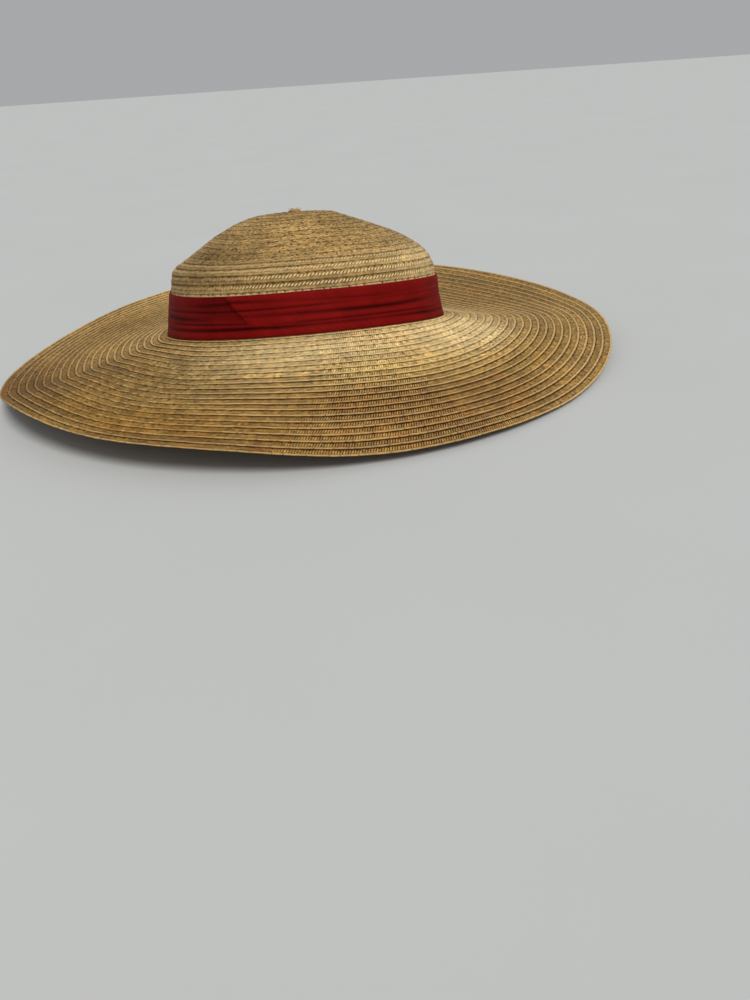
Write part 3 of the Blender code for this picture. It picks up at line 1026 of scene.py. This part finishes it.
def ribbon_mesh():
    """Ribbon from its lapped outer end once round the crown and on under that end, and its flat size."""
    middle, run, past, height, crease_shade = ribbon_middle()
    out = np.cross(np.gradient(middle, axis=0), np.gradient(middle, axis=1))
    out /= np.linalg.norm(out, axis=-1, keepdims=True)
    front = middle + out * RIBBON_THICKNESS / 2 + SHIFT
    back = middle - out * RIBBON_THICKNESS / 2 + SHIFT
    points = np.concatenate([front, back[:, ::-1]], 1)
    uv_front = np.stack([run, height * BAND_HEIGHT + 0 * run], -1)
    uv = np.concatenate([uv_front, uv_front[:, ::-1]], 1)
    # Painted shade on the length that runs up to the lapped end, over the middle of its height
    lap_shade_tone = 1.0 - 0.34 * between(past, 300, 360) * between(height, 0.20, 0.65)
    attributes = {
        "crease": np.concatenate([crease_shade, crease_shade[:, ::-1]], 1),
        "lap_shade_tone": np.concatenate([lap_shade_tone, lap_shade_tone], 1),
    }
    mesh = closed_strip("ribbon", points, uv, attributes)
    length = steps(middle[:, RIBBON_ROWS // 2]).sum()
    wide = steps(middle, 1).sum(1).mean()
    return mesh, (float(wide), float(length))


def coil_mesh():
    """The first coil of the braid at the tip, a plump cord wound in a spiral."""
    turns = np.linspace(0, COIL_TURNS, COIL_STEPS)
    outward = turns / turns[-1]
    angle = turns * 2 * math.pi
    radius = COIL_START + (COIL_RADIUS - 0.0011) * outward
    around = np.linspace(0, 2 * math.pi, COIL_SIDES + 1)[:-1][None, :]
    plump = 0.00085 + 0.00012 * np.sin(angle * 9)[:, None]
    reach = radius[:, None] + plump * np.cos(around)
    level = CROWN_HEIGHT - 0.0005 + 0.0006 * (1 - outward)[:, None] - 0.8 * plump * np.sin(around)
    out = np.stack([np.sin(angle), -np.cos(angle)], -1)[:, None]
    points = np.concatenate([reach[..., None] * out, level[..., None]], -1)
    along = np.cumsum(radius)[:, None] * (angle[1] - angle[0]) + 0 * around
    uv = np.stack([along, BRAID_WIDTH / 2 + 0.0015 * np.cos(around) + 0 * along], -1)
    shape = points.shape[:2]
    levels = {"cream": 0.3, "dull": 0.0, "worn": 0.3, "plain": 0.5, "row": 0.0, "under": 0.0}
    attributes = {key: np.full(shape, level) for key, level in levels.items()}
    attributes["tint"] = np.ones(shape + (3,)) * np.array(CROWN_STRAW) * 1.1
    return closed_strip("tip_coil_braid", leaning(points) + SHIFT, uv, attributes)


def tuft_blades():
    """Short bent straw ends, each a tapered blade with a lens-shaped section."""
    generator = np.random.default_rng(8)
    grids = []
    for blade in range(TUFT_BLADES):
        turn = blade * 2.4 + generator.uniform(-0.4, 0.4)
        length = TUFT_LENGTH * generator.uniform(0.55, 1.0)
        rise = generator.uniform(0.0004, 0.0020)
        along = np.linspace(0, 1, TUFT_STEPS)
        out = length * along
        level = CROWN_HEIGHT + rise * np.sin(along * math.pi * 0.8)
        turn_along = turn + 0.5 * along * generator.uniform(-1, 1)
        spine = np.stack([out * np.sin(turn_along), -out * np.cos(turn_along), level], -1)
        wide = BLADE_WIDTH * (1 - 0.6 * along)
        side = np.stack([np.cos(turn_along), np.sin(turn_along), 0 * along], -1)
        up = np.array([0, 0, BLADE_THICKNESS])
        ring = [spine - side * wide[:, None], spine - up, spine + side * wide[:, None], spine + up]
        grids.append(np.stack(ring, 1))
    return grids


def tuft_piece(grids, finish):
    """All the blades of the tuft as one mesh."""
    points, faces, base = [], [], 0
    for grid in grids:
        for part in strip_faces(*grid.shape[:2]):
            faces += (part + base).tolist()
        points.append((leaning(grid) + SHIFT).reshape(-1, 3))
        base += len(points[-1])
    mesh = bpy.data.meshes.new("tip_tuft")
    mesh.from_pydata(np.concatenate(points).tolist(), [], faces)
    mesh.shade_smooth()
    add_piece("tip_tuft", mesh, finish, "coil_straw", "tip_coil")


def tuft_material():
    """Pale loose straw ends."""
    tree = Tree("straw_ends")
    grain = tree.noise(tree.place(), 900.0, 2.0)
    colour = tree.mix(tree.ramp(grain, 0.35, 0.65), (0.50, 0.34, 0.16, 1.0), (0.86, 0.68, 0.42, 1.0))
    tree.bump(grain, 0.0001, 0.5)
    return tree.finish(colour, 0.5, 0.5)


def dress_hat():
    """Every visible piece of the hat."""
    crown_finish = straw_material("crown_braid", CROWN_LOOK)
    brim_finish = straw_material("brim_braid", BRIM_LOOK)
    crown = Braid(crown_straw, CROWN_WINDING, CROWN_PATCHES, CROWN_STRAW)
    for name, first, last in (("crown_tip_rows", 0.0, 0.5), ("crown_wall_rows", 0.5, 1.0)):
        add_piece(name, crown.piece_mesh(name, first, last), crown_finish, "crown_straw", "crown")
    brim = Braid(brim_straw, BRIM_WINDING, BRIM_PATCHES, BRIM_STRAW)
    for name, first, last in (
            ("brim_inner_rows", 0.0, 0.34), ("brim_middle_rows", 0.34, 0.67), ("brim_outer_rows", 0.67, 1.0)):
        add_piece(name, brim.piece_mesh(name, first, last), brim_finish, "brim_straw", "brim")
    mesh, flat = ribbon_mesh()
    ribbon = add_piece("ribbon_band", mesh, ribbon_material(), "ribbon", "band")
    coil_finish = straw_material("tip_braid", CROWN_LOOK)
    add_piece("tip_coil_braid", coil_mesh(), coil_finish, "coil_straw", "tip_coil")
    tuft_piece(tuft_blades(), tuft_material())


# Camera: how it stands to the hat, and where the photograph shows the middle of the crown's foot
CAMERA_DISTANCE = 0.5553
CAMERA_ELEVATION = math.radians(16.35)
CAMERA_AZIMUTH = math.radians(-74.82)
CAMERA_ROLL = math.radians(-5.97)
AIM_PIXEL = (305.4, 318.6)
FRAME_PIXELS = (750, 1000)
FOCAL_PIXELS = 751.0
SENSOR_MM = 36.0


def add_camera():
    """Camera at the photograph's angle, turned so that the aim falls on its pixel."""
    back = np.array([
        math.sin(CAMERA_AZIMUTH) * math.cos(CAMERA_ELEVATION),
        -math.cos(CAMERA_AZIMUTH) * math.cos(CAMERA_ELEVATION),
        math.sin(CAMERA_ELEVATION),
    ])
    right = np.cross(-back, [0, 0, 1])
    right /= np.linalg.norm(right)
    up = np.cross(right, -back)
    rolled_right = right * math.cos(CAMERA_ROLL) + up * math.sin(CAMERA_ROLL)
    rolled_up = up * math.cos(CAMERA_ROLL) - right * math.sin(CAMERA_ROLL)
    level = np.array([rolled_right, rolled_up, back])
    ray = np.array([
        (AIM_PIXEL[0] - FRAME_PIXELS[0] / 2) / FOCAL_PIXELS,
        -(AIM_PIXEL[1] - FRAME_PIXELS[1] / 2) / FOCAL_PIXELS,
        -1.0,
    ])
    ray /= np.linalg.norm(ray)
    axis = np.cross(ray, [0, 0, -1])
    skew = np.array([[0, -axis[2], axis[1]], [axis[2], 0, -axis[0]], [-axis[1], axis[0], 0]])
    turn = np.eye(3) + skew + skew @ skew / (1 - ray[2])
    view = turn.T @ level
    aim = np.array([0, 0, SEAT_HEIGHT]) + SHIFT
    data = bpy.data.cameras.new("camera")
    data.sensor_width = SENSOR_MM
    data.lens = FOCAL_PIXELS * SENSOR_MM / max(FRAME_PIXELS)
    data.clip_start = 0.01
    camera = bpy.data.objects.new("camera", data)
    bpy.context.scene.collection.objects.link(camera)
    place = Matrix(view.T.tolist()).to_4x4()
    place.translation = (aim + back * CAMERA_DISTANCE).tolist()
    camera.matrix_world = place
    bpy.context.scene.camera = camera


def add_floor():
    """Wide pale floor."""
    half = 8.0
    corners = [(-half, -half, 0), (half, -half, 0), (half, half, 0), (-half, half, 0)]
    mesh = bpy.data.meshes.new("floor")
    mesh.from_pydata(corners, [], [(0, 1, 2, 3)])
    tree = Tree("pale_floor")
    cloud = tree.noise(tree.place(), 6.0, 4.0)
    colour = tree.mix(cloud, (0.60, 0.61, 0.605, 1.0), (0.64, 0.65, 0.645, 1.0))
    mesh.materials.append(tree.finish(colour, 0.9, 0.2))
    floor = bpy.data.objects.new("floor", mesh)
    bpy.context.scene.collection.objects.link(floor)


# Soft light from over the camera's right shoulder, and an even sky
SUN_FROM = (-0.60, -0.45, 1.10)
SUN_STRENGTH = 1.75
SUN_WIDTH = math.radians(28)
SKY_COLOUR = (0.96, 0.985, 1.0)
SKY_STRENGTH = 0.40


def add_lights():
    """A broad soft light and a pale sky."""
    data = bpy.data.lights.new("key", "SUN")
    data.energy = SUN_STRENGTH
    data.angle = SUN_WIDTH
    data.color = (1.0, 0.985, 0.955)
    light = bpy.data.objects.new("key", data)
    light.rotation_mode = "QUATERNION"
    light.rotation_quaternion = Vector(SUN_FROM).to_track_quat("Z", "Y")
    bpy.context.scene.collection.objects.link(light)
    world = bpy.data.worlds.new("sky")
    bpy.context.scene.world = world
    world.use_nodes = True
    background = world.node_tree.nodes["Background"]
    background.inputs["Color"].default_value = (*SKY_COLOUR, 1.0)
    background.inputs["Strength"].default_value = SKY_STRENGTH


dress_hat()
add_camera()
add_floor()
add_lights()
bpy.context.scene.view_settings.view_transform = "Standard"
